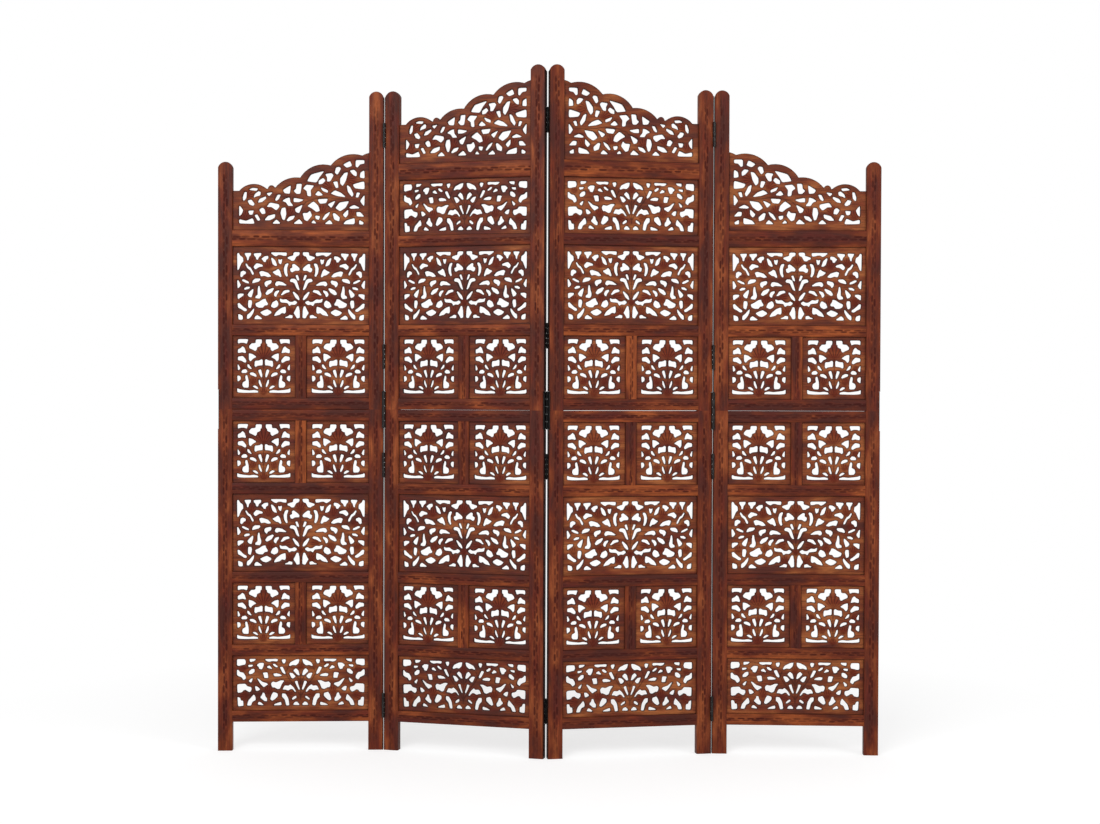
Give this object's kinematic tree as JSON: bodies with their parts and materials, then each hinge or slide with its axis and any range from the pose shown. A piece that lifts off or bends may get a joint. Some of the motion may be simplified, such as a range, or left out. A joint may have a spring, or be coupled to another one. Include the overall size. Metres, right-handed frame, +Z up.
{
  "type": "room divider",
  "caption": "Folding wooden screen: hinged leaves of grooved stiles and rails hold pierced boards, under scalloped crests that climb to the middle.",
  "frame": {"origin": "centre of the bounding box of the standing screen, at floor level", "axes": "+Z up, +X to the right seen from the front, +Y to the back. The side seams fold forwards, towards -Y"},
  "size_m": [1.6055, 0.1156, 1.657],
  "materials": {
    "stile_wood": "stained and waxed, worn at the edges",
    "rail_wood": "stained and waxed, with chip carving",
    "board_wood": "carved, stained and waxed",
    "iron": "black"
  },
  "bodies": {
    "leaf_1": {"leaf_1_crest_board": "board_wood", "leaf_1_left_stile_lower": "stile_wood", "leaf_1_left_stile_upper": "stile_wood", "leaf_1_low_boards": "board_wood", "leaf_1_muntins": "rail_wood", "leaf_1_rails_lower": "rail_wood", "leaf_1_rails_upper": "rail_wood", "leaf_1_right_stile_lower": "stile_wood", "leaf_1_right_stile_upper": "stile_wood", "leaf_1_square_boards": "board_wood", "leaf_1_tall_boards": "board_wood", "seam_1_left_plates": "iron", "edge_plate_left": "iron"},
    "leaf_2": {"leaf_2_crest_board": "board_wood", "leaf_2_left_stile_lower": "stile_wood", "leaf_2_left_stile_upper": "stile_wood", "leaf_2_low_boards": "board_wood", "leaf_2_muntins": "rail_wood", "leaf_2_rails_lower": "rail_wood", "leaf_2_rails_upper": "rail_wood", "leaf_2_right_stile_lower": "stile_wood", "leaf_2_right_stile_upper": "stile_wood", "leaf_2_square_boards": "board_wood", "leaf_2_tall_boards": "board_wood", "seam_1_right_plates": "iron", "seam_2_left_plates": "iron"},
    "leaf_3": {"leaf_3_crest_board": "board_wood", "leaf_3_left_stile_lower": "stile_wood", "leaf_3_left_stile_upper": "stile_wood", "leaf_3_low_boards": "board_wood", "leaf_3_muntins": "rail_wood", "leaf_3_rails_lower": "rail_wood", "leaf_3_rails_upper": "rail_wood", "leaf_3_right_stile_lower": "stile_wood", "leaf_3_right_stile_upper": "stile_wood", "leaf_3_square_boards": "board_wood", "leaf_3_tall_boards": "board_wood", "seam_2_right_plates": "iron", "seam_3_left_plates": "iron"},
    "leaf_4": {"leaf_4_crest_board": "board_wood", "leaf_4_left_stile_lower": "stile_wood", "leaf_4_left_stile_upper": "stile_wood", "leaf_4_low_boards": "board_wood", "leaf_4_muntins": "rail_wood", "leaf_4_rails_lower": "rail_wood", "leaf_4_rails_upper": "rail_wood", "leaf_4_right_stile_lower": "stile_wood", "leaf_4_right_stile_upper": "stile_wood", "leaf_4_square_boards": "board_wood", "leaf_4_tall_boards": "board_wood", "seam_3_right_plates": "iron", "edge_plate_right": "iron"}
  },
  "joints": [
    {"name": "seam_1", "type": "hinge", "parent": "leaf_2", "child": "leaf_1", "pos_m": [-0.40053, 0.03188, 0.8], "axis": [0, 0, 1], "range_deg": [-16.3, 163.7]},
    {"name": "seam_2", "type": "hinge", "parent": "leaf_2", "child": "leaf_3", "pos_m": [-0.00153, -0.03244, 0.8], "axis": [0, 0, 1], "range_deg": [-23.5, 156.5]},
    {"name": "seam_3", "type": "hinge", "parent": "leaf_3", "child": "leaf_4", "pos_m": [0.40067, 0.00741, 0.8], "axis": [0, 0, -1], "range_deg": [-12, 168]}
  ]
}
